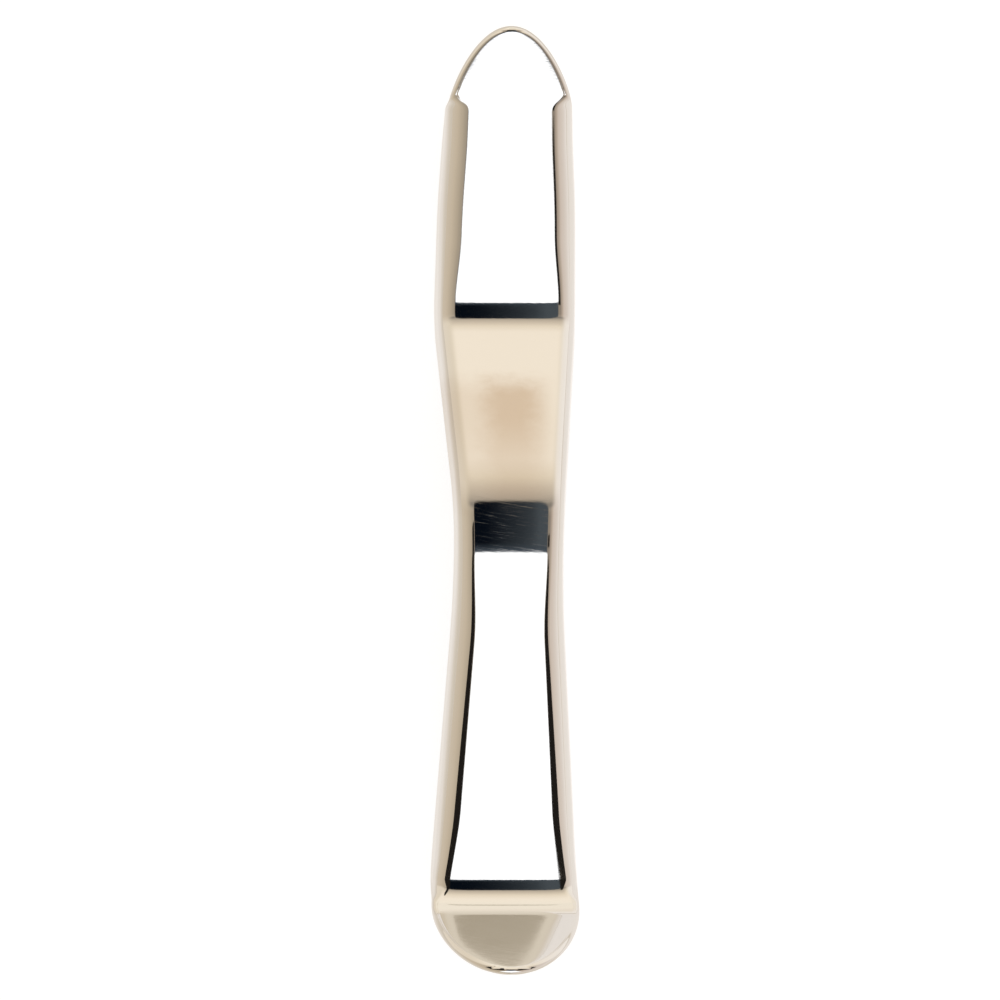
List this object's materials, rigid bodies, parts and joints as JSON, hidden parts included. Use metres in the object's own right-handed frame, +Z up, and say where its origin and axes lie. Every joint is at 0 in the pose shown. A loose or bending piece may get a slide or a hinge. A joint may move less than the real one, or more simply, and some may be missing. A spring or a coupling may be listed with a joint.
{
  "type": "handheld surgical retractor",
  "caption": "Double-ended offset surgical cheek retractor, pressed from steel sheet, with a flat rounded blade, turned-back flanges and an upturned lip for holding soft tissue aside.",
  "frame": {"origin": "on the table that the part lies on, under the middle of its bounding box", "axes": "+Y along the part towards the tip of the long flat blade, +Z up out of the front face, +X across the part"},
  "size_m": [0.0238, 0.1508, 0.0166],
  "materials": {
    "polished_steel": "mirror-polished stainless steel with fine buffing lines"
  },
  "bodies": {
    "root": {"retractor": "polished_steel"}
  },
  "joints": []
}
